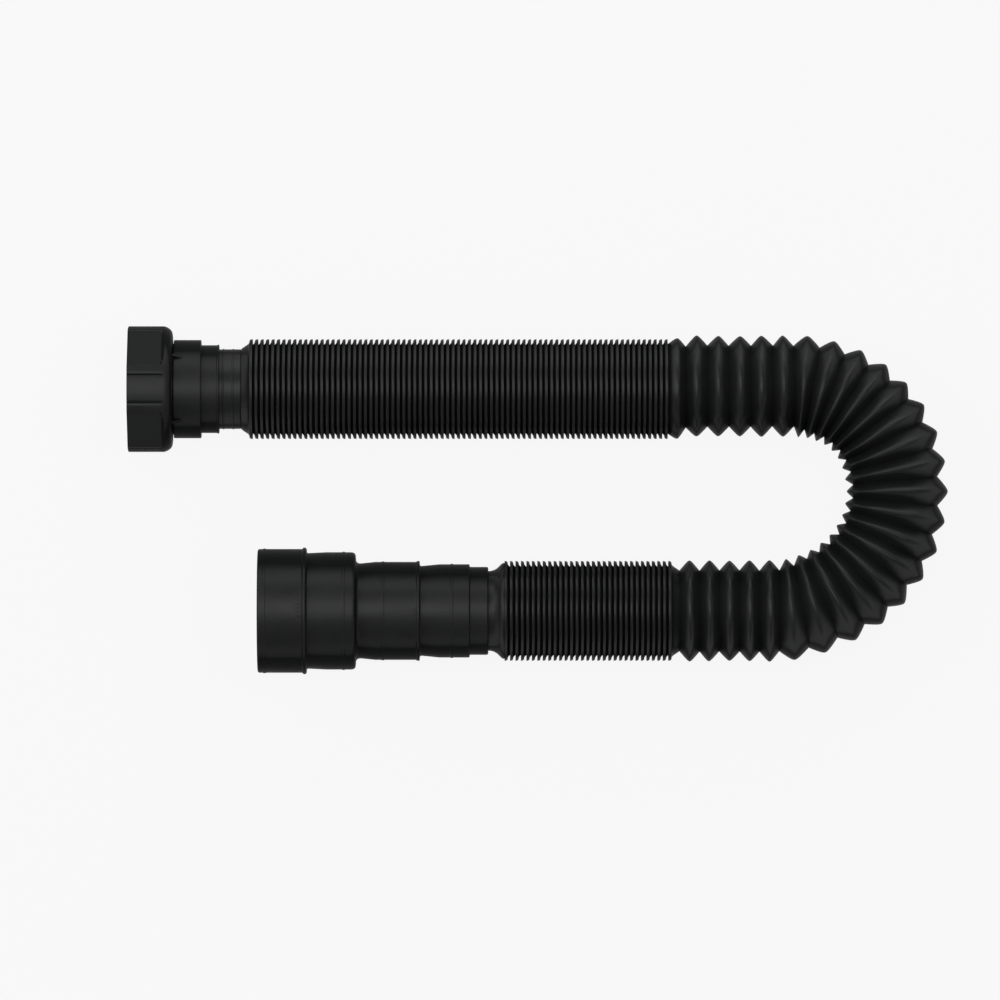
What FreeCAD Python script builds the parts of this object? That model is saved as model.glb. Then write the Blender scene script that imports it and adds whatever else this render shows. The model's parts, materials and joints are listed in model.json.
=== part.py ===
"""Extensible corrugated sink trap, bent into a U and lying flat.

The tube's axis lies in a plane parallel to XY. The inlet leg (union nut, sleeve) runs along +X at
positive Y, the tube turns half round at the right, and the outlet leg (stepped adapter) runs back
along -X at negative Y. Millimetres. The origin is the middle of the footprint, on the floor.

Along the inlet leg, x is measured from the nut's mouth. The tube is one moulding on the real
object. Here it is cut at its valleys, so that each stretch that moves by itself is a solid.
"""

import FreeCAD, Part
import Sketcher

import math
import os
import re

from FreeCAD import Placement, Rotation, Vector

DRIVING = {
    # Union nut for a 1 1/4 inch pipe thread, with four flats between four lobes.
    "nut_length": 19.0,
    "nut_radius": 25.8,
    "nut_flat_apothem": 23.85,
    "nut_flat_length": 14.8,
    "nut_flat_half_width": 14.0,
    "nut_back_rounding": 3.6,
    "nut_mouth_radius": 20.95,
    "nut_mouth_chamfer": 1.4,
    "thread_crest_radius": 19.475,
    "thread_end": 10.4,
    "nut_relief_radius": 19.9,
    "nut_wall_start": 16.0,
    "nut_hole_radius": 18.58,
    # Sealing washer, between the tail pipe's end and the sleeve's flange.
    "washer_radius": 19.2,
    "washer_hole_radius": 15.2,
    "washer_start": 10.6,
    "flange_start": 13.4,
    # Inlet sleeve, which holds the nut between its flange and its shoulder.
    "flange_radius": 19.4,
    "flange_end": 15.9,
    "neck_radius": 18.5,
    "shoulder_start": 19.1,
    "big_step_radius": 20.0,
    "big_step_end": 30.2,
    "small_step_radius": 17.88,
    "sleeve_end": 37.5,
    "sleeve_socket_start": 23.5,
    "rib_length": 3.0,
    "rib_height": 1.6,
    "rib_width": 1.4,
    # The tube's section, and the sockets that its plain cuffs sit in.
    "bore_radius": 15.0,
    "cuff_radius": 16.2,
    "socket_radius": 16.25,
    "pleat_bore_radius": 15.6,
    "valley_radius": 16.5,
    "open_tip_radius": 20.55,
    "open_tip_inner_radius": 19.35,
    "closed_tip_radius": 20.35,
    "body_gap": 0.1,
    # Inlet cuff, with two faint rings round it.
    "inlet_cuff_start": 23.55,
    "cuff_ring_one": 39.3,
    "cuff_ring_two": 43.2,
    "cuff_ring_half_width": 0.4,
    "cuff_ring_height": 0.2,
    "tube_start": 46.6,
    # Folded pleats. Each tip leans over the next pleat, away from the inlet.
    "closed_pitch": 2.2225,
    "closed_lean": 4.5,
    "closed_tip_width": 0.4,
    "inlet_closed_pleats": 77,
    "inlet_closed_groups": 7,
    "outlet_closed_pleats": 31,
    "outlet_closed_groups": 3,
    # Open pleats, straight stretches.
    "inlet_open_pleats": 6,
    "inlet_first_open": 9.7,
    "inlet_first_tip": 6.2,
    "inlet_open_pitch": 8.8,
    "outlet_open_pleats": 5,
    "outlet_open_pitch": 8.15,
    # Open pleats round the half turn, which stand wider apart towards the outlet.
    "bend_pleats": 17,
    "leg_spacing": 90.3,
    "bend_pitch_growth": 0.1,
    # Outlet cuff, which starts under the last folded pleat.
    "closing_cone": 3.9,
    "outlet_cuff_length": 30.75,
    # Outlet adapter, stepped for 50, 48, 40 and 38 mm pipe fittings. x is from its open end.
    "step_a_radius": 25.2,
    "step_b_radius": 23.9,
    "step_c_radius": 19.95,
    "step_d_radius": 19.0,
    "step_e_radius": 17.9,
    "step_a_end": 20.0,
    "step_b_end": 40.0,
    "step_c_end": 66.0,
    "step_d_end": 86.3,
    "step_e_end": 93.9,
    "step_draft": 0.8,
    "step_draft_length": 8.0,
    "step_floor": 2.0,
    "a_bore_radius": 23.1,
    "b_bore_radius": 21.7,
    "c_bore_radius": 17.7,
    "stop_start": 69.5,
    "adapter_socket_start": 72.0,
    "bead": 0.2,
    "bead_half_width": 0.7,
    "lip": 0.6,
    "lip_width": 1.0,
    "edge": 0.4,
}

doc = FreeCAD.newDocument("trap")
sheet = doc.addObject("Spreadsheet::Sheet", "Sizes")
for row, (name, value) in enumerate(DRIVING.items(), start=1):
    sheet.set(f"A{row}", name)
    sheet.set(f"B{row}", str(value))
    sheet.setAlias(f"B{row}", name)
doc.recompute()

subparts = []


def size(name):
    """A driving dimension, read back from the sheet."""
    return float(sheet.get(name))


def bound(text):
    """An expression in which each driving dimension's name points to its cell."""
    return re.sub(
        r"[a-z_]+", lambda m: "Sizes." + m[0] if m[0] in DRIVING else m[0], text
    )


def origin_part(body, role):
    return next(f for f in body.Origin.OriginFeatures if f.Role == role)


def place_corner(sketch, i, corner, value):
    """Holds corner i of a sketch to its two expressions."""
    for kind, axis, text, at in zip(("DistanceX", "DistanceY"), (-2, -1), corner, value):
        if abs(at) < 1e-9:
            sketch.addConstraint(Sketcher.Constraint("PointOnObject", i, 1, axis))
            continue
        ends = (-1, 1, i, 1) if at > 0 else (i, 1, -1, 1)
        index = sketch.addConstraint(Sketcher.Constraint(kind, *ends, abs(at)))
        text = bound(text) if at > 0 else f"-({bound(text)})"
        sketch.setExpression(f"Constraints[{index}]", text)


def outline_sketch(body, name, outline, role="XY_Plane"):
    """A closed outline on an origin plane. Its corners are pairs of expressions."""
    sketch = body.newObject("Sketcher::SketchObject", name)
    sketch.AttachmentSupport = [(origin_part(body, role), "")]
    sketch.MapMode = "FlatFace"
    values = [
        [float(sheet.evalExpression(bound(text))) for text in corner]
        for corner in outline
    ]
    points = [Vector(x, y, 0) for x, y in values]
    lines = [Part.LineSegment(a, b) for a, b in zip(points, points[1:] + points[:1])]
    sketch.addGeometry(lines, False)
    count = len(points)
    joins = [
        Sketcher.Constraint("Coincident", (i - 1) % count, 2, i, 1)
        for i in range(count)
    ]
    sketch.addConstraint(joins)
    for i, (corner, value) in enumerate(zip(outline, values)):
        place_corner(sketch, i, corner, value)
    return sketch


def turned(label, outline):
    """A body turned about the X axis from an outline of (x, radius) expressions."""
    body = doc.addObject("PartDesign::Body", label)
    subparts.append(body)
    turn_sketch = outline_sketch(body, label + "_outline", outline)
    turn = body.newObject("PartDesign::Revolution", label + "_turn")
    turn.Profile = turn_sketch
    turn.ReferenceAxis = (turn_sketch, ["H_Axis"])
    turn.Angle = 360.0
    doc.recompute()
    return body


def four_round_x(body, feature):
    """Repeats a feature at four places round the X axis, and checks that it changed the body."""
    before = body.Tip.Shape.Volume if body.Tip != feature else None
    pattern = body.newObject("PartDesign::PolarPattern", feature.Name + "_round")
    pattern.Originals = [feature]
    pattern.Axis = (origin_part(body, "X_Axis"), [""])
    pattern.Angle = 360.0
    pattern.Occurrences = 4
    body.Tip = pattern
    doc.recompute()
    if before is not None and math.isclose(before, pattern.Shape.Volume):
        raise SystemExit(f"{feature.Name} changed nothing")
    return pattern


def union_nut():
    """Threaded crests in front, a relief round the washer and flange, and a back wall with a hole.
    Its outside is round, with four flats that stop short of the rounded shoulder."""
    label = "union_nut"
    body = turned(
        label,
        [
            ("0", "nut_mouth_radius"),
            ("nut_mouth_chamfer", "thread_crest_radius"),
            ("thread_end", "thread_crest_radius"),
            ("thread_end", "nut_relief_radius"),
            ("nut_wall_start", "nut_relief_radius"),
            ("nut_wall_start", "nut_hole_radius"),
            ("nut_length", "nut_hole_radius"),
            ("nut_length", "nut_radius"),
            ("0", "nut_radius"),
        ],
    )
    base = body.Tip
    back_edges = [
        f"Edge{i}"
        for i, edge in enumerate(base.Shape.Edges, start=1)
        if edge.Curve.TypeId == "Part::GeomCircle"
        and math.isclose(edge.Curve.Radius, size("nut_radius"))
        and math.isclose(edge.Curve.Center.x, size("nut_length"))
    ]
    rounding = body.newObject("PartDesign::Fillet", label + "_shoulder")
    rounding.Base = (base, back_edges)
    rounding.setExpression("Radius", bound("nut_back_rounding"))
    doc.recompute()
    flat = outline_sketch(
        body,
        label + "_flat",
        [
            ("-nut_flat_half_width", "nut_flat_apothem"),
            ("nut_flat_half_width", "nut_flat_apothem"),
            ("nut_flat_half_width", "nut_radius + 2"),
            ("-nut_flat_half_width", "nut_radius + 2"),
        ],
        "YZ_Plane",
    )
    cut = body.newObject("PartDesign::Pocket", label + "_flat_cut")
    cut.Profile = flat
    cut.Reversed = True
    cut.setExpression("Length", bound("nut_flat_length"))
    doc.recompute()
    if cut.Shape.Volume > rounding.Shape.Volume - 1:
        raise SystemExit("the nut's flat cuts nothing")
    four_round_x(body, cut)
    return body


def inlet_sleeve():
    """Flange, neck, big step and small step outside; a through bore that opens into the socket of
    the tube's cuff. Four small ribs stand behind the nut."""
    label = "inlet_sleeve"
    body = turned(
        label,
        [
            ("flange_start", "bore_radius"),
            ("flange_start", "flange_radius"),
            ("flange_end", "flange_radius"),
            ("flange_end", "neck_radius"),
            ("shoulder_start", "neck_radius"),
            ("shoulder_start", "big_step_radius"),
            ("big_step_end - edge", "big_step_radius"),
            ("big_step_end", "big_step_radius - edge"),
            ("big_step_end", "small_step_radius"),
            ("sleeve_end - edge", "small_step_radius"),
            ("sleeve_end", "small_step_radius - edge"),
            ("sleeve_end", "socket_radius"),
            ("sleeve_socket_start", "socket_radius"),
            ("sleeve_socket_start", "bore_radius"),
        ],
    )
    rib_sketch = outline_sketch(
        body,
        label + "_rib",
        [
            ("shoulder_start", "big_step_radius - 1"),
            ("shoulder_start + rib_length", "big_step_radius - 1"),
            ("shoulder_start + rib_length", "big_step_radius"),
            ("shoulder_start", "big_step_radius + rib_height"),
        ],
    )
    rib = body.newObject("PartDesign::Pad", label + "_rib_pad")
    rib.Profile = rib_sketch
    rib.SideType = "Symmetric"
    rib.setExpression("Length", bound("rib_width"))
    doc.recompute()
    four_round_x(body, rib)
    return body


def sealing_washer():
    return turned(
        "sealing_washer",
        [
            ("washer_start", "washer_hole_radius"),
            ("washer_start", "washer_radius"),
            ("flange_start", "washer_radius"),
            ("flange_start", "washer_hole_radius"),
        ],
    )


def raised_ring(middle, half, radius, height):
    """Four corners of a low ring on a cylinder."""
    return [
        (f"{middle} - {half}", radius),
        (f"{middle} - {half} / 2", f"{radius} + {height}"),
        (f"{middle} + {half} / 2", f"{radius} + {height}"),
        (f"{middle} + {half}", radius),
    ]


def inlet_cuff():
    half, height = "cuff_ring_half_width", "cuff_ring_height"
    return turned(
        "tube_inlet_cuff",
        [
            ("inlet_cuff_start", "bore_radius"),
            ("inlet_cuff_start", "cuff_radius"),
            *raised_ring("cuff_ring_one", half, "cuff_radius", height),
            *raised_ring("cuff_ring_two", half, "cuff_radius", height),
            ("tube_start - body_gap", "cuff_radius"),
            ("tube_start - body_gap", "bore_radius"),
        ],
    )


def folded_pleats(label, count):
    """Folded pleats: each fin rises from its valley to a tip that leans over the next fin."""
    outline = [("0", "pleat_bore_radius")]
    for k in range(count):
        outline += [
            (f"{k} * closed_pitch", "valley_radius"),
            (f"{k} * closed_pitch + closed_lean - closed_tip_width", "closed_tip_radius"),
            (f"{k} * closed_pitch + closed_lean", "closed_tip_radius"),
        ]
    end = f"{count} * closed_pitch - body_gap"
    return turned(label, outline + [(end, "valley_radius"), (end, "pleat_bore_radius")])


def open_pleats(label, valleys, tips):
    """Open pleats of one wall thickness, from the first valley to the last."""
    outer, inner = [(valleys[0], "valley_radius")], [(valleys[0], "pleat_bore_radius")]
    for tip, valley in zip(tips, valleys[1:]):
        outer += [(tip, "open_tip_radius"), (valley, "valley_radius")]
        inner += [(tip, "open_tip_inner_radius"), (valley, "pleat_bore_radius")]
    return turned(label, outer + inner[::-1])


def inlet_open_pleats():
    count = int(size("inlet_open_pleats"))
    valleys = ["0"] + [
        f"inlet_first_open + {k} * inlet_open_pitch" for k in range(count)
    ]
    tips = ["inlet_first_tip"] + [
        f"inlet_first_open + {k + 0.5} * inlet_open_pitch" for k in range(count - 1)
    ]
    valleys[-1] += " - body_gap / 2"
    return open_pleats("tube_inlet_open_pleats", valleys, tips)


def outlet_open_pleats():
    count = int(size("outlet_open_pleats"))
    valleys = [f"{k} * outlet_open_pitch" for k in range(count + 1)]
    tips = [f"{k + 0.5} * outlet_open_pitch" for k in range(count)]
    valleys[0] = "body_gap / 2"
    valleys[-1] += " - body_gap"
    return open_pleats("tube_outlet_open_pleats", valleys, tips)


def ring_shell(label, pitch, valley_radius, tip_radius):
    """The space inside one pleat of the bend: a ruled loft from valley plane to tip plane to valley
    plane, in the pleat's own frame. The valley planes lean towards each other at the inside of
    the bend, which is at -Y."""
    lean = 90.0 / size("bend_pleats")
    sections = []
    for name, side, radius in (
        ("in", -1, valley_radius),
        ("tip", 0, tip_radius),
        ("out", 1, valley_radius),
    ):
        circle = doc.addObject("Part::Circle", f"{label}_{name}")
        circle.setExpression("Radius", bound(radius))
        facing = Rotation(Vector(0, 0, 1), -side * lean) * Rotation(Vector(0, 1, 0), 90)
        circle.Placement = Placement(Vector(side * pitch / 2, 0, 0), facing)
        circle.setExpression(
            "Placement.Base.x", bound(f"{side} * ({pitch} - body_gap) / 2")
        )
        sections.append(circle)
    loft = doc.addObject("Part::Loft", label)
    loft.Sections = sections
    loft.Solid = True
    loft.Ruled = True
    return loft


def bend_pleat(number, pitch):
    label = f"tube_bend_pleat_{number:02d}"
    outside = ring_shell(label + "_outside", pitch, "valley_radius", "open_tip_radius")
    inside = ring_shell(
        label + "_inside", pitch, "pleat_bore_radius", "open_tip_inner_radius"
    )
    ring = doc.addObject("Part::Cut", label)
    ring.Base = outside
    ring.Tool = inside
    subparts.append(ring)
    return ring


def bend_path(start):
    """(middle, heading in degrees, pitch) of each pleat round the bend, and the bend's end. The
    pleats turn alike, and their mean pitch is the one that ends the bend a leg spacing away."""
    count = int(size("bend_pleats"))
    turn = math.pi / count
    mean = size("leg_spacing") * math.sin(turn / 2)
    point, pleats = start, []
    for k in range(count):
        heading = (k + 0.5) * turn
        pitch = mean + size("bend_pitch_growth") * (k - (count - 1) / 2)
        step = Vector(math.cos(heading), -math.sin(heading), 0) * pitch
        pleats.append((point + step * 0.5, math.degrees(heading), pitch))
        point = point + step
    return pleats, point


def outlet_cuff():
    """The last pleat's far flank, and the plain cuff that sits in the adapter's socket."""
    return turned(
        "tube_outlet_cuff",
        [
            ("0", "bore_radius"),
            ("0", "cuff_radius"),
            ("body_gap", "valley_radius"),
            ("closed_lean - closed_pitch + 1.5 * body_gap", "closed_tip_radius"),
            ("closed_lean - closed_pitch + closing_cone", "cuff_radius"),
            ("outlet_cuff_length", "cuff_radius"),
            ("outlet_cuff_length", "bore_radius"),
        ],
    )


def outlet_adapter():
    """Four steps for pipe fittings, widest at the open end, and the socket of the tube's cuff. Each
    step has its own bore, a bead round it, and all but the first a drafted start."""
    bead = ("bead_half_width", "bead")
    outside = [
        ("0", "step_a_radius - edge"),
        ("edge", "step_a_radius"),
        *raised_ring("2.8", bead[0], "step_a_radius", bead[1]),
        ("step_a_end - 2 * lip_width", "step_a_radius"),
        ("step_a_end - 1.5 * lip_width", "step_a_radius + lip"),
        ("step_a_end - 0.5 * lip_width", "step_a_radius + lip"),
        ("step_a_end", "step_a_radius"),
        ("step_a_end", "step_b_radius - step_draft / 2"),
        ("step_a_end + step_draft_length", "step_b_radius"),
        *raised_ring("step_b_end - 5", bead[0], "step_b_radius", bead[1]),
        ("step_b_end - 1", "step_b_radius"),
        ("step_b_end", "step_b_radius - 1"),
        ("step_b_end", "step_c_radius - step_draft"),
        ("step_b_end + step_draft_length", "step_c_radius"),
        *raised_ring("step_b_end + 11", bead[0], "step_c_radius", bead[1]),
        ("step_c_end - 1.5 * lip_width", "step_c_radius"),
        ("step_c_end - lip_width", "step_c_radius + edge"),
        ("step_c_end", "step_c_radius + edge"),
        ("step_c_end", "step_d_radius - step_draft"),
        ("step_c_end + step_draft_length", "step_d_radius"),
        *raised_ring("step_c_end + 13", bead[0], "step_d_radius", bead[1]),
        ("step_d_end - edge", "step_d_radius"),
        ("step_d_end", "step_d_radius - edge"),
        ("step_d_end", "step_e_radius"),
        ("step_e_end - edge", "step_e_radius"),
        ("step_e_end", "step_e_radius - edge"),
    ]
    inside = [
        ("step_e_end", "socket_radius"),
        ("adapter_socket_start", "socket_radius"),
        ("adapter_socket_start", "bore_radius"),
        ("stop_start", "bore_radius"),
        ("stop_start", "c_bore_radius - 1"),
        ("step_c_end - step_floor", "c_bore_radius"),
        ("step_b_end - step_floor", "c_bore_radius"),
        ("step_b_end - step_floor", "b_bore_radius"),
        ("step_a_end - step_floor", "b_bore_radius"),
        ("step_a_end - step_floor", "a_bore_radius"),
        ("0", "a_bore_radius"),
    ]
    return turned("outlet_adapter", outside + inside)


def group_sizes(pleats, groups):
    """Shares pleats among groups, the larger groups first."""
    return [pleats // groups + (k < pleats % groups) for k in range(groups)]


def folded_leg(name, start, along):
    """Folded groups one behind another from start, along +1 or -1 times X."""
    x = start.x
    for number, count in enumerate(
        group_sizes(int(size(f"{name}_closed_pleats")), int(size(f"{name}_closed_groups"))),
        start=1,
    ):
        group = folded_pleats(f"tube_{name}_closed_pleats_{number:02d}", count)
        facing = Rotation(Vector(0, 0, 1), 0 if along > 0 else 180)
        group.Placement = Placement(Vector(x, start.y, start.z), facing)
        x += along * count * size("closed_pitch")
    return Vector(x, start.y, start.z)


# Where the stretches of the tube start, measured from the nut's mouth.
axis = Vector(0, size("leg_spacing") / 2, size("nut_radius"))
back = Rotation(Vector(0, 0, 1), 180)
eighth_turn = Rotation(Vector(1, 0, 0), 45)
open_start = axis + Vector(
    size("tube_start") + size("inlet_closed_pleats") * size("closed_pitch"), 0, 0
)
bend_start = open_start + Vector(
    size("inlet_first_open")
    + (size("inlet_open_pleats") - 1) * size("inlet_open_pitch"),
    0,
    0,
)
path, bend_end = bend_path(bend_start)
reach = max(
    middle.x + size("open_tip_radius") * math.sin(math.radians(heading))
    for middle, heading, pitch in path
)
outlet_closed_start = bend_end - Vector(
    size("outlet_open_pleats") * size("outlet_open_pitch"), 0, 0
)
outlet_cuff_start = outlet_closed_start - Vector(
    size("outlet_closed_pleats") * size("closed_pitch"), 0, 0
)
adapter_start = outlet_cuff_start - Vector(
    size("outlet_cuff_length") + size("adapter_socket_start") + size("body_gap") / 2,
    0,
    0,
)

# The nut's mouth moves to half the overall length left of the origin.
centre = Vector(-reach / 2, 0, 0)

union_nut().Placement = Placement(centre + axis, eighth_turn)
sealing_washer().Placement = Placement(centre + axis, Rotation())
inlet_sleeve().Placement = Placement(centre + axis, eighth_turn)
inlet_cuff().Placement = Placement(centre + axis, Rotation())
folded_leg("inlet", centre + axis + Vector(size("tube_start"), 0, 0), 1)
inlet_open_pleats().Placement = Placement(centre + open_start, Rotation())
for number, (middle, heading, pitch) in enumerate(path, start=1):
    pleat = bend_pleat(number, pitch)
    pleat.Placement = Placement(centre + middle, Rotation(Vector(0, 0, 1), -heading))
outlet_open_pleats().Placement = Placement(centre + bend_end, back)
folded_leg("outlet", centre + outlet_closed_start, -1)
outlet_cuff().Placement = Placement(centre + outlet_cuff_start, back)
outlet_adapter().Placement = Placement(centre + adapter_start, Rotation())
doc.recompute()

for thing in doc.Objects:
    if any(word in thing.State for word in ("Invalid", "Error")):
        raise SystemExit(f"{thing.Label} failed: {thing.State}")
for subpart in subparts:
    if subpart.Shape.isNull() or not subpart.Shape.isValid():
        raise SystemExit(f"{subpart.Label} has no valid shape")
    if len(subpart.Shape.Solids) != 1:
        raise SystemExit(f"{subpart.Label} isn't one solid")

os.makedirs("parts", exist_ok=True)
for subpart in subparts:
    subpart.Shape.exportStep(f"parts/{subpart.Label}.step")
    print(subpart.Label, round(subpart.Shape.Volume, 1))

whole = Part.makeCompound([subpart.Shape for subpart in subparts])
whole = whole.optimalBoundingBox(False, False)
print("x", round(whole.XMin, 2), round(whole.XMax, 2))
print("y", round(whole.YMin, 2), round(whole.YMax, 2))
print("z", round(whole.ZMin, 2), round(whole.ZMax, 2))
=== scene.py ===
"""Extensible corrugated sink trap, bent into a U and lying flat: its skins, finishes and light.

The corrugated tube is one blow moulding whose pleats fold and bend one against another, so it is
made here as a run of thin-walled pieces that meet exactly.
"""

import json
import math

import bmesh
import bpy
import numpy as np
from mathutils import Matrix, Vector, noise

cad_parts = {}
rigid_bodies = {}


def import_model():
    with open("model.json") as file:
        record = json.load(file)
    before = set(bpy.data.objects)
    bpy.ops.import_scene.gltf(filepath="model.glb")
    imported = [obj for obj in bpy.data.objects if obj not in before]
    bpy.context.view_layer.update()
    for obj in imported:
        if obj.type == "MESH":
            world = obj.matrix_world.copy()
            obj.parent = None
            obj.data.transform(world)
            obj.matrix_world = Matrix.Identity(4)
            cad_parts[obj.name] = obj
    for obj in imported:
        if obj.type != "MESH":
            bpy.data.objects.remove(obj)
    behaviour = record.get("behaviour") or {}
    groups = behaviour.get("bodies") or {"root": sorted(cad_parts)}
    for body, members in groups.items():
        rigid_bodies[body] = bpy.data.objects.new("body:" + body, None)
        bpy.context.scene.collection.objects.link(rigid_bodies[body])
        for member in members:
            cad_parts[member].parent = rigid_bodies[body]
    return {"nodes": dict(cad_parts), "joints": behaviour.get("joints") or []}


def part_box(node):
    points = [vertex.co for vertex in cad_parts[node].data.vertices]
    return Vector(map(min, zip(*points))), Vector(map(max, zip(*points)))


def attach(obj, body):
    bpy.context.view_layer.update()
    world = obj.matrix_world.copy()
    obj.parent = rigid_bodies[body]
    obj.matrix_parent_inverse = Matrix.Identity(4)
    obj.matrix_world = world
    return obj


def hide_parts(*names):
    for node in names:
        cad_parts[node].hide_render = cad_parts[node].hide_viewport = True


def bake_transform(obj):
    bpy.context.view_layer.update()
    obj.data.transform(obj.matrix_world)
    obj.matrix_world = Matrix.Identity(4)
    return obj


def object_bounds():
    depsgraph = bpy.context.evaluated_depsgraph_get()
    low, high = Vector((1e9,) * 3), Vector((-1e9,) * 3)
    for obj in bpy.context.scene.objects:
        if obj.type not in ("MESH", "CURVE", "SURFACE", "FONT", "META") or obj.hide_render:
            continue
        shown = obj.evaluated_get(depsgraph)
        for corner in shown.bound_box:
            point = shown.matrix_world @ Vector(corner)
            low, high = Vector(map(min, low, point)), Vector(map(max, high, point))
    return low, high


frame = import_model()
cad_low, cad_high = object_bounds()
cad_middle = (cad_low + cad_high) / 2

MM = 0.001
HAIR = 0.05 * MM  # half the space left between two tube solids

# Meshes.
AROUND = 120  # points round a turned piece
SHARP_ANGLE = math.radians(40)  # faces that turn by more than this meet at a sharp edge
STRAIGHT_ANGLE = math.radians(172)  # a corner more open than this isn't rounded
ARC_SHARE = 0.45  # of an edge, at most, for the arc at each of its ends
SUPPORT_REACH = 1.1  # of an arc's reach, to the point that keeps the long faces' shading level
SMALL_EDGE = 0.3 * MM
FULL_EDGE = 1.0  # more than fits, so that each arc takes its whole share of the shorter edge

# The tube's wall and its pleats.
TUBE_WALL = 0.85 * MM  # measured along the radius
FOLDED_WALL = 0.45 * MM
VALLEY_RADIUS = 16.5 * MM
OPEN_TIP_RADIUS = 20.55 * MM
FOLDED_TIP_RADIUS = 20.35 * MM
FOLDED_AROUND = 96
FOLDED_PITCH = 2.2225 * MM
FOLDED_LEAN = 4.5 * MM  # how far a folded fin's tip stands past its valley
RIM_WIDTH = 1.25 * MM
INLET_SHARES = (5, 11, 11, 11, 11, 11, 11, 6)  # folded pleats between neighbouring bodies
OUTLET_SHARES = (5, 11, 10, 5)
INLET_OPEN_PLEATS = 6
BEND_END = 23  # pleats from the folded ones to where the bend ends
INLET_FIRST_OPEN = 9.7 * MM
INLET_FIRST_TIP = 6.2 * MM
OUTLET_OPEN_PLEATS = 5
TIP_ROUNDING = 0.2  # as a share of a flank
UNEVENNESS = 0.3 * MM
WAVINESS = 0.5 * MM  # how far a ring stands off its plane
WANDER_AROUND = 1.4  # how fast both change round a ring, and from one ring to the next
WANDER_ALONG = 3.7
INNER_VALLEY_RISE = 1.6 * MM  # valleys crowd outwards at the inside of the bend
INNER_RISE_RATE = 3  # they do so fully where the sine of the turn is a third or more
LEG_DRIFT = 1.2 * MM  # the bend was pushed a little towards the inlet leg
BEND_DRIFT = 1.7 * MM
DRIFT_START = 1.6  # pleats over which the drift grows, and over which it fades
DRIFT_FADE = 2.5
DRIFT_SPREAD = 3  # pleats to each side of the bend's middle

# The union nut. Angles are from the middle of a lobe.
NUT_MOUTH = 0.4
NUT_LENGTH = 18.5
NUT_RADIUS = 25.8
NUT_FLAT = 23.6  # apothem
NUT_FLAT_END = 14.2
NUT_FLAT_FADE = 2.0
NUT_RIB_END = 15.0
NUT_RIB_FADE = 0.4
NUT_SHOULDER = (5.2, 3.4)  # along the axis and across it
NUT_EDGE = 0.5
NUT_RIB = (5.8, 9.8)  # its two sides, measured across from the lobe's middle
NUT_GROOVE_DEPTH = 0.4
NUT_GROOVE_WIDTH = 0.3
NUT_LOBE_HOLLOW = 0.2
SLEEVE_RIB_TURN = math.radians(40)
THREAD_PITCH = 25.4 / 11
THREAD_CREST = 19.475
THREAD_ROOT = 20.95
THREAD_START = 1.4
THREAD_END = 10.4
THREAD_FADE = 1.2
THREAD_RINGS = 12  # in one turn

# Raised bars: how deep they are sunk in the wall, their bevel, and their top's share of the width.
BAR_ROOT = 0.3
BAR_BEVEL = 0.1
BAR_TOP = 0.7
# Short raised ticks in front of two of the adapter's lips: span, radius, and place across.
ADAPTER_TICKS = [((15.6, 18.4), 25.2, across) for across in (2.9, 1.3, -0.3, -1.9)]
ADAPTER_TICKS += [((62.9, 64.7), 19.95, across) for across in (0.8, -1.2)]

# Finishes.
PATCH_SIZE = 14 * MM
FACE_SHINE = 0.5  # specular level face on
EDGE_SHINE = 0.01  # and edge on, where a grained skin hides its own shine
PAPER_LIFT = 0.9  # how much of the white seen behind the trap is the paper's own

# The studio. A softbox has a name, a width, a depth, a place from the trap's middle and a radiance.
FLOOR_RADIUS = 10.0
FLOOR_SWEEP = 2.5  # radius of the arc in which its edge rises
FLOOR_AROUND = 64
SOFTBOXES = [
    ("top_softbox", 3.0, 0.8, (0, 0.15, 1.6), 1.15),
    ("side_softbox", 3.6, 1.3, (0, 2.0, 0.65), 0.95),
    ("end_softbox", 1.4, 1.4, (-1.6, 0.5, 1.1), 0.9),
]

# The camera.
VIEW_WIDTH = 407.2 * MM
VIEW_SHIFT = 15.2 * MM


def axis_of(node):
    """The middle of a node's box, which a turned piece's axis runs through."""
    low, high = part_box(node)
    return (Vector(low) + Vector(high)) / 2


def start_of(node):
    """Where a node's box begins along X."""
    return Vector(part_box(node)[0]).x


def end_of(node):
    """Where a node's box ends along X."""
    return Vector(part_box(node)[1]).x


def spread(low, high, count):
    """Values from low to high in so many even steps, with both ends."""
    return [low + (high - low) * k / count for k in range(count + 1)]


def smooth_step(t):
    """0 up to t = 0 and 1 from t = 1, with a smooth rise between them."""
    t = min(max(t, 0.0), 1.0)
    return t * t * (3 - 2 * t)


inlet_axis = axis_of("tube_inlet_cuff")
outlet_axis = axis_of("tube_outlet_cuff")


# Finishes


def linear(code):
    """A colour written as sRGB hex, as the linear values that a shader works in."""
    values = [int(code[i : i + 2], 16) / 255 for i in (1, 3, 5)]
    curve = [v / 12.92 if v <= 0.04045 else ((v + 0.055) / 1.055) ** 2.4 for v in values]
    return (*curve, 1.0)


def node(tree, kind, settings=None, links=None):
    """Adds a shader node. A setting is an attribute, or an input's starting value; a link is what
    feeds an input."""
    made = tree.nodes.new("ShaderNode" + kind)
    for name, value in (settings or {}).items():
        if isinstance(name, str) and hasattr(made, name):
            setattr(made, name, value)
        else:
            made.inputs[name].default_value = value
    for name, source in (links or {}).items():
        tree.links.new(source, made.inputs[name])
    return made


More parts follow.
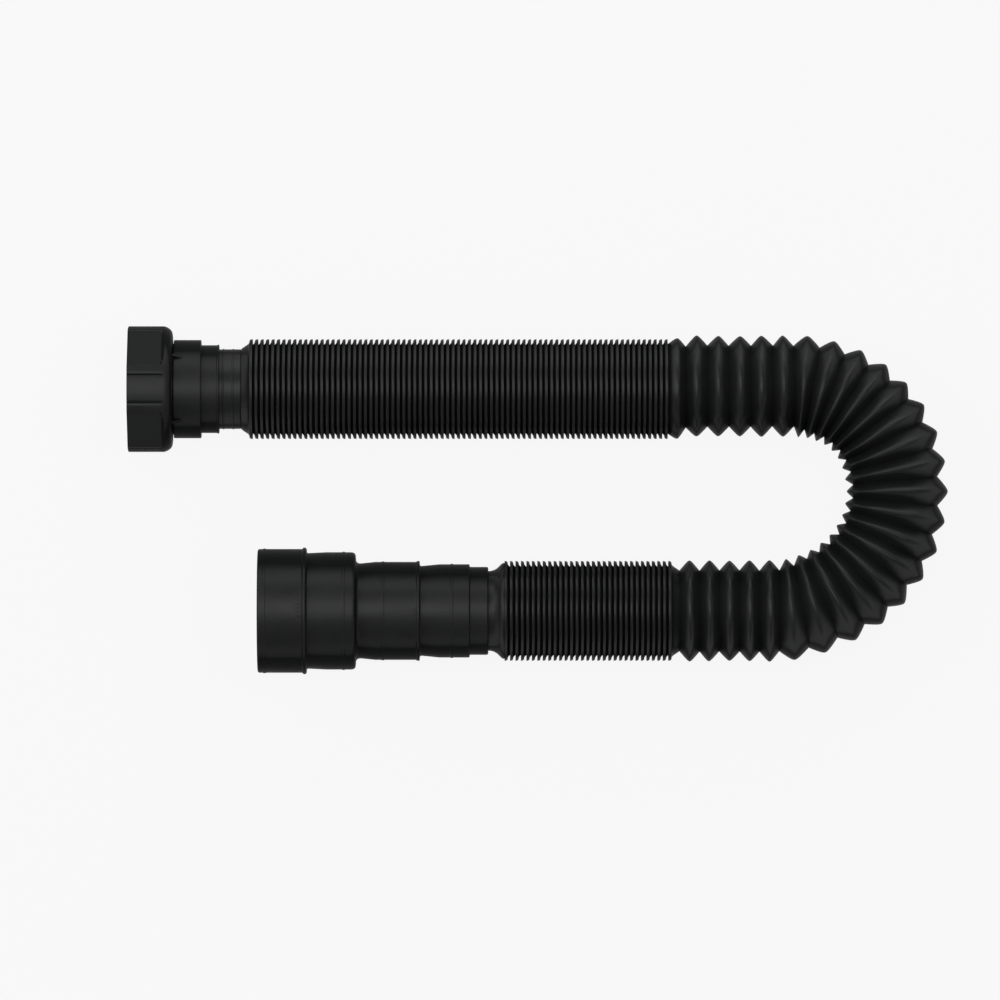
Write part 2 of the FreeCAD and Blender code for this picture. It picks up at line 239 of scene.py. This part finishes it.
def moulded(name, dark, light, roughness, ior, relief_mm, grain_mm, matt):
    """A moulded plastic or rubber: two close blacks in soft patches, and a fine skin that takes the
    sharpness out of its highlights. Where it turns edge on as far as matt, its grain hides its
    shine."""
    material = bpy.data.materials.new(name)
    material.use_nodes = True
    tree = material.node_tree
    shader = tree.nodes["Principled BSDF"]
    shader.inputs["Base Color"].default_value = linear(dark)
    shader.inputs["IOR"].default_value = ior
    place = node(tree, "TexCoord").outputs["Object"]
    patches = node(
        tree,
        "TexNoise",
        {"Scale": 1 / PATCH_SIZE, "Detail": 3.0, "Roughness": 0.6},
        {"Vector": place},
    )
    tint = node(
        tree,
        "Mix",
        {"data_type": "RGBA", 6: linear(dark), 7: linear(light)},
        {0: patches.outputs["Fac"]},
    )
    tree.links.new(tint.outputs[2], shader.inputs["Base Color"])
    gloss = node(
        tree,
        "MapRange",
        {"From Min": 0.3, "From Max": 0.7, "To Min": roughness[0], "To Max": roughness[1]},
        {"Value": patches.outputs["Fac"]},
    )
    tree.links.new(gloss.outputs["Result"], shader.inputs["Roughness"])
    grain = node(
        tree,
        "TexNoise",
        {"Scale": 1 / (grain_mm * MM), "Detail": 4.0, "Roughness": 0.7},
        {"Vector": place},
    )
    edge = node(tree, "LayerWeight", {"Blend": 0.5})
    shine = node(
        tree,
        "MapRange",
        {"From Min": 0.04, "From Max": matt, "To Min": FACE_SHINE, "To Max": EDGE_SHINE},
        {"Value": edge.outputs["Facing"]},
    )
    tree.links.new(shine.outputs["Result"], shader.inputs["Specular IOR Level"])
    skin = node(
        tree,
        "Bump",
        {"Strength": 1.0, "Distance": relief_mm * MM},
        {"Height": grain.outputs["Fac"]},
    )
    tree.links.new(skin.outputs["Normal"], shader.inputs["Normal"])
    return material


# Injection-moulded polypropylene has a satin skin from its steel mould: a near black with a broad,
# soft highlight. Its grain is finer than a tenth of a millimetre and is drawn coarser, so that it
# shows.
fitting_polypropylene = moulded(
    "black_polypropylene_injection_moulded",
    "#1b1c1c", "#222323", (0.36, 0.46), 1.49, 0.012, 0.5, 0.36,
)
# Blow-moulded polypropylene is pressed on the mould from one side only, so its outside is a little
# smoother and wavier, and its highlights run along the pleats.
tube_polypropylene = moulded(
    "black_polypropylene_blow_moulded",
    "#1d1e1e", "#252626", (0.32, 0.42), 1.49, 0.02, 1.6, 0.55,
)
# Nitrile rubber is matt and a shade greyer, with the dull look of a washer dusted with talc.
washer_rubber = moulded(
    "nitrile_rubber",
    "#202020", "#2b2a29", (0.65, 0.8), 1.52, 0.02, 0.4, 0.5,
)


# Meshes


def placed(name, data):
    """An object for the data of a mesh, a lamp or a camera, in the scene."""
    made = bpy.data.objects.new(name, data)
    bpy.context.scene.collection.objects.link(made)
    return made


def object_of(name, mesh, material):
    """An object for a bmesh, which is freed."""
    data = bpy.data.meshes.new(name)
    mesh.to_mesh(data)
    mesh.free()
    data.materials.append(material)
    return placed(name, data)


def skin_through(name, rings, material):
    """A closed skin through rings of points, each joined to the next and the last to the first."""
    count, around, _ = rings.shape
    points = rings.reshape(-1, 3)
    ring = np.arange(count)[:, None]
    spoke = np.arange(around)[None, :]
    next_ring = (ring + 1) % count
    next_spoke = (spoke + 1) % around
    corners = [
        ring * around + spoke,
        ring * around + next_spoke,
        next_ring * around + next_spoke,
        next_ring * around + spoke,
    ]
    faces = np.stack([np.broadcast_to(c, (count, around)) for c in corners], axis=-1)
    faces = faces.reshape(-1, 4)
    a, b, c, d = (points[faces[:, i]] - points.mean(axis=0) for i in range(4))
    volume = np.einsum("ij,ij->", a, np.cross(b, c)) + np.einsum("ij,ij->", a, np.cross(c, d))
    if volume < 0:
        faces = faces[:, ::-1]
    mesh = bpy.data.meshes.new(name)
    mesh.from_pydata(points.tolist(), [], faces.tolist())
    mesh.polygons.foreach_set("use_smooth", [True] * len(faces))
    mesh.set_sharp_from_angle(angle=SHARP_ANGLE)
    mesh.materials.append(material)
    return placed(name, mesh)


def circle_angles(around=AROUND):
    return np.linspace(0, 2 * math.pi, around, endpoint=False)


def turned_rings(profile, axis, along, around):
    """Rings for a profile of (x, radius) round an axis parallel to X. x runs along +X or -X from
    the axis point."""
    angle = circle_angles(around)
    circle = np.stack([np.zeros(around), np.cos(angle), np.sin(angle)], axis=-1)
    outline = np.array(profile)
    rings = circle[None] * outline[:, 1, None, None]
    rings[:, :, 0] = outline[:, 0, None] * along
    return rings + np.array(axis)


def rounded(outline, radius, steps=4):
    """A closed outline with each corner made an arc of the given radius, or less where its edges
    are short. A point close to each end of the arc keeps the shading of the long faces level."""
    corners = [Vector(p) for p in outline]
    ones_before = corners[-1:] + corners[:-1]
    ones_after = corners[1:] + corners[:1]
    result = []
    for before, corner, after in zip(ones_before, corners, ones_after):
        back, on = before - corner, after - corner
        turn = back.angle(on, math.pi)
        if turn > STRAIGHT_ANGLE:
            result.append(tuple(corner))
            continue
        reach = min(radius / math.tan(turn / 2), ARC_SHARE * back.length, ARC_SHARE * on.length)
        before_arc, after_arc = back.normalized() * reach, on.normalized() * reach
        result.append(tuple(corner + before_arc * SUPPORT_REACH))
        for k in range(steps + 1):
            t = k / steps
            result.append(tuple(corner + before_arc * (1 - t) ** 2 + after_arc * t * t))
        result.append(tuple(corner + after_arc * SUPPORT_REACH))
    return result


def turned(name, outline, axis, along, material, edge, around=AROUND):
    """A piece turned from an outline in millimetres."""
    outline = [(x * MM, radius * MM) for x, radius in outline]
    return skin_through(name, turned_rings(rounded(outline, edge), axis, along, around), material)


# Pleats


def folded_front(steps=5):
    """The outside of a folded pleat's front wall, from its valley to its tip, as (x, radius). The
    fin rises at a slant, stands up steeply under its rim, and ends in a rounded rim."""
    rise = FOLDED_TIP_RADIUS - VALLEY_RADIUS
    rim = FOLDED_LEAN - RIM_WIDTH
    points = [
        (0.0, VALLEY_RADIUS),
        (0.30 * FOLDED_LEAN, VALLEY_RADIUS + 0.24 * rise),
        (0.58 * FOLDED_LEAN, VALLEY_RADIUS + 0.46 * rise),
        (rim - 0.15 * MM, VALLEY_RADIUS + 0.62 * rise),
    ]
    for k in range(steps + 1):
        turn = math.pi / 2 * k / steps
        x = rim + RIM_WIDTH * (1 - math.cos(turn))
        points.append((x, VALLEY_RADIUS + rise * (0.84 + 0.16 * math.sin(turn))))
    return points


def folded_back():
    """The outside of its back wall, from the tip down to the next valley."""
    return [
        (FOLDED_LEAN, FOLDED_TIP_RADIUS),
        (FOLDED_LEAN - 0.3 * MM, FOLDED_TIP_RADIUS - 0.6 * MM),
        (FOLDED_PITCH, VALLEY_RADIUS),
    ]


def folded_wall(outside):
    """A thin wall under an outline from one end to the other, as a closed outline."""
    return outside + [(x, radius - FOLDED_WALL) for x, radius in outside[::-1]]


def folded_nodes(leg):
    """The node of each folded pleat of a leg, in order."""
    result = []
    for name in sorted(n for n in frame["nodes"] if n.startswith(f"tube_{leg}_closed_pleats")):
        length = end_of(name) - start_of(name)
        result += [name] * (round((length - FOLDED_LEAN) / FOLDED_PITCH) + 1)
    return result


def fold(name, outside, place, along, group):
    """One wall of one folded pleat."""
    rings = turned_rings(folded_wall(outside), place, along, FOLDED_AROUND)
    piece = skin_through(name, rings, tube_polypropylene)
    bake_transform(piece)
    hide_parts(group)


def folded_pleats(leg, start, along, bodies, shares):
    """A leg's folded pleats, one behind another, counted out in a share for each pair of
    neighbouring bodies."""
    direction = Vector((along, 0, 0))
    groups = folded_nodes(leg)
    pleat = 0
    for pair, share in zip(zip(bodies, bodies[1:]), shares):
        for k in range(share):
            place = start + direction * pleat * FOLDED_PITCH
            group = groups[pleat]
            pleat += 1
            fold(
                f"tube_{leg}_pleat_{pleat:02d}_front",
                folded_front(), place, along, group,
            )
            fold(
                f"tube_{leg}_pleat_{pleat:02d}_back",
                folded_back(), place, along, group,
            )


def inner_share(angle):
    """How much each point round a ring is at the inside of the bend, from 0 to 1."""
    return np.maximum(-np.cos(angle), 0.0) ** 2


def pleat_plane(centre, heading, radius, seed):
    """A ring across the tube's line: its centre, its heading (the turn from +X towards -Y), and for
    each point round it the radius and how far it stands ahead. Both are a little uneven, as
    hand-bent pleats are, but the ring stays flat at the inside of the bend."""
    angle = circle_angles()
    across, along = WANDER_AROUND, seed * WANDER_ALONG
    wander = np.array([
        noise.noise_vector((math.cos(a) * across, math.sin(a) * across, along)) for a in angle
    ])
    ahead = WAVINESS * wander[:, 1] * (1 - inner_share(angle))
    return Vector(centre), heading, radius + UNEVENNESS * wander[:, 0], ahead


def plane_between(first, second, u, share):
    """The plane at u of the way from one to another, its radius at share of the way."""
    centre = first[0].lerp(second[0], u)
    heading = first[1] + (second[1] - first[1]) * u
    radius = first[2] + (second[2] - first[2]) * share
    return centre, heading, radius, first[3] + (second[3] - first[3]) * u


def plane_points(plane, deeper):
    """The points of a plane's ring, so much deeper than its radius."""
    centre, heading, radius, ahead = plane
    angle = circle_angles()
    outward = np.array((math.sin(heading), math.cos(heading), 0.0))
    onward = np.array((math.cos(heading), -math.sin(heading), 0.0))
    up = np.array((0.0, 0.0, 1.0))
    reach = radius - deeper
    ring = outward * (reach * np.cos(angle))[:, None] + up * (reach * np.sin(angle))[:, None]
    return np.array(centre) + ring + onward * ahead[:, None]


def fall(u):
    """How far down its flank a pleat's wall is, at u of the way from the rounded tip to the
    valley."""
    whole = math.hypot(1, TIP_ROUNDING) - TIP_ROUNDING
    return (math.hypot(u, TIP_ROUNDING) - TIP_ROUNDING) / whole


def flank(first, second, first_is_tip, steps=14):
    """The planes along one flank, from tip to valley or from valley to tip."""
    turns = [(1 - math.cos(math.pi * k / steps)) / 2 for k in range(steps + 1)]
    shares = [fall(u) if first_is_tip else 1 - fall(1 - u) for u in turns]
    return [plane_between(first, second, u, share) for u, share in zip(turns, shares)]


def open_skin(name, planes, first_is_tip):
    """The tube's wall through alternating tip and valley planes."""
    run = [planes[0]]
    for number, pair in enumerate(zip(planes, planes[1:])):
        run += flank(*pair, first_is_tip == (number % 2 == 0))[1:]
    outside = [plane_points(plane, 0) for plane in run]
    inside = [plane_points(plane, TUBE_WALL) for plane in run[::-1]]
    piece = skin_through(name, np.array(outside + inside), tube_polypropylene)
    return piece


def open_planes():
    """Tip and valley planes of all open pleats, from the inlet leg's folded pleats round the bend
    to the outlet leg's. The first and last are valleys."""
    hinges = sorted(
        (j for j in frame["joints"] if j["type"] == "hinge" and j["name"] != "nut_spin"),
        key=lambda j: bend_order(j["child"]),
    )
    turn = math.pi / (len(hinges) - 1)
    valleys = []
    for number, hinge in enumerate(hinges):
        heading = number * turn
        outward = Vector((math.sin(heading), math.cos(heading), 0))
        valleys.append((Vector(hinge["pos_m"]) - outward * VALLEY_RADIUS, heading))
    inlet_start = Vector((start_of("tube_inlet_open_pleats"), *valleys[0][0].yz))
    rest = spread(inlet_start.x + INLET_FIRST_OPEN, valleys[0][0].x, INLET_OPEN_PLEATS - 1)
    inlet = [(inlet_start, 0.0)] + [(Vector((x, *inlet_start.yz)), 0.0) for x in rest[:-1]]
    outlet_end = end_of("tube_outlet_closed_pleats_01") + HAIR
    steps = spread(valleys[-1][0].x, outlet_end, OUTLET_OPEN_PLEATS)
    outlet = [(Vector((x, *valleys[-1][0].yz)), math.pi) for x in steps[1:]]
    line = inlet + valleys + outlet
    inner = inner_share(circle_angles())
    planes = []
    for number, ((centre, heading), (after, turned_to)) in enumerate(zip(line, line[1:])):
        rise = INNER_VALLEY_RISE * smooth_step(math.sin(heading) * INNER_RISE_RATE) * inner
        valley = VALLEY_RADIUS + rise
        planes.append(pleat_plane(centre + drift(number), heading, valley, 2 * number))
        share = INLET_FIRST_TIP / INLET_FIRST_OPEN if number == 0 else 0.5
        middle = centre.lerp(after, share) + drift(number + 0.5)
        halfway = (heading + turned_to) / 2
        planes.append(pleat_plane(middle, halfway, OPEN_TIP_RADIUS, 2 * number + 1))
    planes.append(pleat_plane(*line[-1], VALLEY_RADIUS, 2 * len(line)))
    for plane in (planes[0], planes[-1]):
        plane[2][:] = VALLEY_RADIUS
        plane[3][:] = 0.0
    return planes


def drift(pleat):
    """How far the tube's line stands towards +Y, so many pleats after the folded ones."""
    leg = smooth_step(pleat / DRIFT_START) * smooth_step((BEND_END - pleat) / DRIFT_FADE)
    bend = math.exp(-(((pleat - BEND_END / 2) / DRIFT_SPREAD) ** 2))
    return Vector((0, LEG_DRIFT * leg + BEND_DRIFT * bend, 0))


def bend_order(body):
    """Where a body comes round the bend."""
    return int(body.split("_")[-1]) if body.startswith("bend_") else 1000


def open_pleats():
    """The open pleats: a straight stretch at each end, which rides on its own body, and between
    them one piece from tip to tip for each valley of the bend."""
    planes = open_planes()
    bodies = ["inlet_open"]
    while bodies[-1] != "outlet_open":
        hinge = next(
            j for j in frame["joints"] if j["parent"] == bodies[-1] and j["type"] == "hinge"
        )
        bodies.append(hinge["child"])
    first = 2 * INLET_OPEN_PLEATS - 1  # the last tip of the inlet's straight stretch
    straight = open_skin("tube_inlet_open", planes[: first + 1], False)
    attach(straight, "inlet_open")
    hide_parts("tube_inlet_open_pleats")
    for number, (before, after) in enumerate(zip(bodies, bodies[1:])):
        at = first + 2 * number
        piece = open_skin(f"tube_bend_valley_{number + 1:02d}", planes[at : at + 3], True)
        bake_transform(piece)
        if after.startswith("bend_"):
            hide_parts(f"tube_bend_pleat_{number + 1:02d}")
    last = first + 2 * (len(bodies) - 1)
    straight = open_skin("tube_outlet_open", planes[last:], True)
    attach(straight, "outlet_open")
    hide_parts("tube_outlet_open_pleats")


# Fittings


def nut_angles():
    """Angles round the nut, close together where a rib or a flat begins."""
    low, high = NUT_RIB
    offsets = [low - 0.5, low - 0.25, low - 0.08, low + 0.08, low + 0.25, low + 0.5]
    offsets = [1.5, 3.0, 4.5] + offsets + [7.2, 8.4, high - 0.3, high - 0.05, high + 0.05]
    eighth = [0.0] + [math.asin(offset / NUT_RADIUS) for offset in offsets]
    eighth += spread(eighth[-1], math.pi / 4, 6)[1:]
    quarter = eighth + [math.pi / 2 - angle for angle in eighth[-2:0:-1]]
    return [angle + turn * math.pi / 2 for turn in range(4) for angle in quarter]


def nut_outside(x, angle):
    """The outside's radius x millimetres from the mouth: round lobes at the quarter turns, with a
    low rib along each side, and flats between them. Flats and ribs end under a round shoulder."""
    from_lobe = abs((angle + math.pi / 4) % (math.pi / 2) - math.pi / 4)
    offset = NUT_RADIUS * math.sin(from_lobe)
    low, high = NUT_RIB
    if offset > high:
        lowered = NUT_RADIUS - NUT_FLAT / math.cos(math.pi / 4 - from_lobe)
        lowered *= 1 - smooth_step((x - NUT_FLAT_END) / NUT_FLAT_FADE)
    else:
        lowered = NUT_GROOVE_DEPTH * math.exp(-(((offset - low) / NUT_GROOVE_WIDTH) ** 2))
        lowered += NUT_LOBE_HOLLOW if offset < low else 0.0
        lowered *= 1 - smooth_step((x - NUT_RIB_END) / NUT_RIB_FADE)
    radius = NUT_RADIUS - lowered
    length, depth = NUT_SHOULDER
    into = (x - (NUT_LENGTH - length)) / length
    if into > 0:
        arc = math.sqrt(max(1 - into**2, 0.0))
        radius = min(radius, NUT_RADIUS - depth * (1 - arc))
    into = 1 - (x - NUT_MOUTH) / NUT_EDGE
    if into > 0:
        radius -= NUT_EDGE * (1 - math.sqrt(1 - into**2))
    return radius


def thread_radius(x, angle):
    """A rounded pipe thread, right-handed, that fades out at both ends."""
    turn = (x / THREAD_PITCH - angle / (2 * math.pi)) % 1.0
    slope = abs(turn - 0.5) * 2
    depth = smooth_step(1.6 * slope - 0.3) * (THREAD_ROOT - THREAD_CREST)
    fade_in = smooth_step((x - THREAD_START) / THREAD_FADE)
    fade_out = smooth_step((THREAD_END - x) / THREAD_FADE)
    return THREAD_CREST + depth * (fade_in * fade_out)


def union_nut():
    """The nut in one skin: its outside from the mouth on, its back wall, and its thread."""
    mouth = Vector((start_of("union_nut"), *inlet_axis.yz))
    angles = nut_angles()
    around = len(angles)
    length = NUT_SHOULDER[0]
    outside = [NUT_MOUTH + NUT_EDGE * k / 3 for k in range(4)] + spread(2.5, 12.5, 4)
    outside += [NUT_LENGTH - length * (1 - math.sin(math.pi / 2 * k / 14)) for k in range(15)]
    outside += spread(NUT_FLAT_END, NUT_FLAT_END + NUT_FLAT_FADE, 5)
    outside += spread(NUT_RIB_END, NUT_RIB_END + NUT_RIB_FADE, 3)
    count = math.ceil((THREAD_END - THREAD_START) / THREAD_PITCH * THREAD_RINGS)
    thread = [THREAD_END - k * THREAD_PITCH / THREAD_RINGS for k in range(count)]
    inner_steps = [
        (NUT_LENGTH - 0.15, 22.1),
        (NUT_LENGTH - 0.6, 21.5),
        (NUT_LENGTH - 0.6, 18.8),
        (NUT_LENGTH - 0.8, 18.6),
        (16.2, 18.6),
        (16.0, 18.8),
        (16.0, 19.9),
        (THREAD_END + 0.3, 19.9),
    ]
    mouth_steps = [(THREAD_START, THREAD_CREST), (NUT_MOUTH + 0.3, 20.6), (NUT_MOUTH, 20.9)]
    rings = [[(x, nut_outside(x, a)) for a in angles] for x in sorted(set(outside))]
    rings += [[step] * around for step in inner_steps]
    rings += [[(x, thread_radius(x, a)) for a in angles] for x in thread]
    rings += [[step] * around for step in mouth_steps]
    table = np.array(rings) * MM
    circle = np.array([(math.cos(a), math.sin(a)) for a in angles])
    points = np.empty((len(rings), around, 3))
    points[:, :, 0] = table[:, :, 0]
    points[:, :, 1] = table[:, :, 1] * circle[None, :, 0]
    points[:, :, 2] = table[:, :, 1] * circle[None, :, 1]
    piece = skin_through("threaded_union_nut", points + np.array(mouth), fitting_polypropylene)
    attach(piece, "nut")
    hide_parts("union_nut")


def raised_ring(middle, half, radius, height):
    """A low ring in a turned outline: its middle along the axis, and half its width."""
    return [
        (middle - half, radius),
        (middle - half / 2, radius + height),
        (middle + half / 2, radius + height),
        (middle + half, radius),
    ]


def inlet_sleeve():
    """Flange and neck inside the nut, then two steps; the tube's cuff sits in its socket."""
    outline = [
        (13.4, 15.0), (13.4, 19.4), (15.9, 19.4), (15.9, 18.5), (19.1, 18.5), (19.1, 20.0),
        (30.2, 20.0), (30.2, 17.88), (36.6, 17.88), (36.8, 18.1), (37.5, 18.1), (37.5, 16.25),
        (23.5, 16.25), (23.5, 15.0),
    ]
    mouth = Vector((start_of("union_nut"), *inlet_axis.yz))
    pieces = [
        turned("stepped_inlet_sleeve", outline, mouth, 1, fitting_polypropylene, SMALL_EDGE)
    ]
    for number in range(4):
        turn = SLEEVE_RIB_TURN if number % 2 else -SLEEVE_RIB_TURN
        turn += math.pi * (number // 2)
        name = f"sleeve_rib_{number + 1}"
        pieces.append(raised_bar(name, mouth, (18.75, 23.2), 20.0, (1.8, -0.1), turn, 1.1))
    for piece in pieces:
        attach(piece, "inlet")
        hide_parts("inlet_sleeve")


def raised_bar(name, start, span, radius, heights, turn, width):
    """A bar along a turned piece, at a turn from the top towards +Y, with its root sunk in the
    wall. It has a height at each end of its span."""
    out = Vector((0, math.sin(turn), math.cos(turn)))
    side = Vector((0, math.cos(turn), -math.sin(turn))) * width / 2
    mesh = bmesh.new()
    ends = []
    for x, height in zip(span, heights):
        left = [(-BAR_ROOT, -1), (height - BAR_BEVEL, -1), (height, -BAR_TOP)]
        outline = left + [(rise, -across) for rise, across in left[::-1]]
        ends.append([
            mesh.verts.new(start + MM * (Vector((x, 0, 0)) + out * (radius + rise) + side * across))
            for rise, across in outline
        ])
    for end in ends:
        mesh.faces.new(end)
    count = len(ends[0])
    for first in range(count):
        second = (first + 1) % count
        mesh.faces.new((ends[0][first], ends[0][second], ends[1][second], ends[1][first]))
    bmesh.ops.recalc_face_normals(mesh, faces=mesh.faces)
    return object_of(name, mesh, fitting_polypropylene)


def sealing_washer():
    """A flat ring between the sleeve's flange and the tail pipe's end."""
    low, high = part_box("sealing_washer")
    width = (high.x - low.x) / MM
    outline = [(0, 15.2), (0, 19.2), (width, 19.2), (width, 15.2)]
    start = Vector((low.x, *inlet_axis.yz))
    piece = turned("flat_sealing_washer", outline, start, 1, washer_rubber, FULL_EDGE)
    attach(piece, "inlet")
    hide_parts("sealing_washer")


def inlet_cuff():
    """The tube's plain end, with two faint rings, from inside the sleeve to the first pleat."""
    low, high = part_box("tube_inlet_cuff")
    length = (high.x - low.x) / MM + 0.1
    outline = [
        (0, 15.0), (0, 16.2),
        *raised_ring(length - 7.3, 0.4, 16.2, 0.2),
        *raised_ring(length - 3.4, 0.4, 16.2, 0.2),
        (length, 16.2), (length, 15.0),
    ]
    start = Vector((low.x, *inlet_axis.yz))
    piece = turned("tube_inlet_end", outline, start, 1, tube_polypropylene, FULL_EDGE)
    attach(piece, "inlet")
    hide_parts("tube_inlet_cuff")


def outlet_cuff():
    """The last pleat's fin and cone, and the tube's plain end in the adapter's socket."""
    _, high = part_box("tube_outlet_cuff")
    outline = [
        (0, 15.0), (0, 16.5), (2.43, 20.35), (6.33, 16.2), (30.75, 16.2), (30.75, 15.0),
    ]
    start = Vector((high.x, *outlet_axis.yz))
    piece = turned("tube_outlet_end", outline, start, -1, tube_polypropylene, FULL_EDGE)
    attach(piece, "outlet")
    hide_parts("tube_outlet_cuff")


def outlet_adapter():
    """Four steps for pipe fittings, each with a bead round it, and a lip behind the first."""
    outline = [
        (0, 25.2),
        *raised_ring(2.8, 0.7, 25.2, 0.2),
        (18.2, 25.2), (18.6, 25.8), (19.5, 25.8), (20.0, 25.2),
        (20.0, 23.5), (28.0, 23.9),
        *raised_ring(35.0, 0.7, 23.9, 0.2),
        (40.0, 23.9), (40.0, 19.15), (48.0, 19.95),
        *raised_ring(51.0, 0.7, 19.95, 0.2),
        (64.5, 19.95), (65.0, 20.35), (66.0, 20.35), (66.0, 18.2), (74.0, 19.0),
        *raised_ring(79.0, 0.7, 19.0, 0.2),
        (86.3, 19.0), (86.3, 17.9), (93.9, 17.9),
        (93.9, 16.25), (72.0, 16.25), (72.0, 15.0), (69.5, 15.0), (69.5, 16.7),
        (64.0, 17.7), (38.0, 17.7), (38.0, 21.7), (18.0, 21.7), (18.0, 23.1), (0, 23.1),
    ]
    start = Vector((start_of("outlet_adapter"), *outlet_axis.yz))
    pieces = [
        turned("stepped_outlet_adapter", outline, start, 1, fitting_polypropylene, FULL_EDGE, 160)
    ]
    for number, (span, radius, across) in enumerate(ADAPTER_TICKS, start=1):
        name = f"adapter_tick_{number}"
        turn = math.asin(across / radius)
        pieces.append(raised_bar(name, start, span, radius, (0.1, 0.35), turn, 0.6))
    for piece in pieces:
        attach(piece, "outlet")
        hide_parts("outlet_adapter")


# Studio


def area_lamp(name, width, depth, place, aim, strength):
    """A softbox that lights but isn't seen. Strength is its radiance, where 1 is white."""
    data = bpy.data.lights.new(name, "AREA")
    data.shape = "RECTANGLE"
    data.size, data.size_y = width, depth
    data.energy = strength * width * depth * math.pi
    lamp = placed(name, data)
    lamp.location = place
    lamp.rotation_mode = "QUATERNION"
    lamp.rotation_quaternion = (Vector(aim) - Vector(place)).to_track_quat("-Z", "Y")
    lamp.visible_camera = False


def white_paper():
    """Diffuse white paper. Seen directly, in a reflection or through glass it's nearly white by
    itself, and still takes a faint shadow; it lights the trap only as plain paper does."""
    material = bpy.data.materials.new("white_paper")
    material.use_nodes = True
    tree = material.node_tree
    shader = tree.nodes["Principled BSDF"]
    shader.inputs["Base Color"].default_value = linear("#e8e8e8")
    shader.inputs["Roughness"].default_value = 0.9
    shader.inputs["Specular IOR Level"].default_value = 0.0
    path = node(tree, "LightPath").outputs
    seen = path["Is Camera Ray"]
    for kind in ("Is Glossy Ray", "Is Transmission Ray"):
        either = node(tree, "Math", {"operation": "MAXIMUM"}, {0: seen, 1: path[kind]})
        seen = either.outputs["Value"]
    share = node(tree, "Math", {"operation": "MULTIPLY", 1: PAPER_LIFT}, {0: seen})
    white = node(tree, "Emission", {"Color": linear("#ffffff"), "Strength": 1.0})
    both = node(
        tree,
        "MixShader",
        {},
        {0: share.outputs["Value"], 1: shader.outputs["BSDF"], 2: white.outputs["Emission"]},
    )
    tree.links.new(both.outputs["Shader"], tree.nodes["Material Output"].inputs["Surface"])
    return material


def floor():
    """A wide round sheet whose edge sweeps up into a low backdrop."""
    rim = [(FLOOR_RADIUS, 0.0)]
    for a in spread(0.1, math.pi / 2, 8):
        rim.append((FLOOR_RADIUS + FLOOR_SWEEP * math.sin(a), FLOOR_SWEEP * (1 - math.cos(a))))
    turns = spread(0.0, 2 * math.pi, FLOOR_AROUND)[:-1]
    mesh = bmesh.new()
    rings = []
    for radius, height in rim:
        rings.append([
            mesh.verts.new((radius * math.cos(a), radius * math.sin(a), height)) for a in turns
        ])
    mesh.faces.new(rings[0])
    for inner, outer in zip(rings, rings[1:]):
        for k in range(FLOOR_AROUND):
            mesh.faces.new((inner[k - 1], outer[k - 1], outer[k], inner[k]))
    piece = object_of("studio_floor", mesh, white_paper())


def studio():
    """The floor, an even grey sky, and the softboxes, which aim at the trap's middle."""
    floor()
    world = bpy.data.worlds.new("studio")
    bpy.context.scene.world = world
    world.use_nodes = True
    tree = world.node_tree
    sky = tree.nodes["Background"]
    sky.inputs["Strength"].default_value = 1.0
    sky.inputs["Color"].default_value = linear("#747474")
    for name, width, depth, place, radiance in SOFTBOXES:
        area_lamp(name, width, depth, cad_middle + Vector(place), cad_middle, radiance)


def camera():
    """Looks straight down on the trap from far off, with the far end of the bend to the right."""
    data = bpy.data.cameras.new("camera")
    data.sensor_width = 36.0
    data.lens = 450.0
    data.clip_start, data.clip_end = 0.1, 50.0
    distance = VIEW_WIDTH * data.lens / data.sensor_width
    made = placed("camera", data)
    made.location = (cad_middle.x - VIEW_SHIFT, cad_middle.y, cad_middle.z + distance)
    bpy.context.scene.camera = made


union_nut()
inlet_sleeve()
sealing_washer()
inlet_cuff()
folded_pleats(
    "inlet",
    Vector((end_of("tube_inlet_cuff") + 2 * HAIR, *inlet_axis.yz)),
    1,
    ["inlet"] + [f"inlet_pleats_{k}" for k in range(1, 8)] + ["inlet_open"],
    INLET_SHARES,
)
open_pleats()
folded_pleats(
    "outlet",
    Vector((end_of("tube_outlet_closed_pleats_01"), *outlet_axis.yz)),
    -1,
    ["outlet_open"] + [f"outlet_pleats_{k}" for k in range(1, 4)] + ["outlet"],
    OUTLET_SHARES,
)
outlet_cuff()
outlet_adapter()
studio()
camera()

bpy.context.scene.view_settings.view_transform = "Standard"
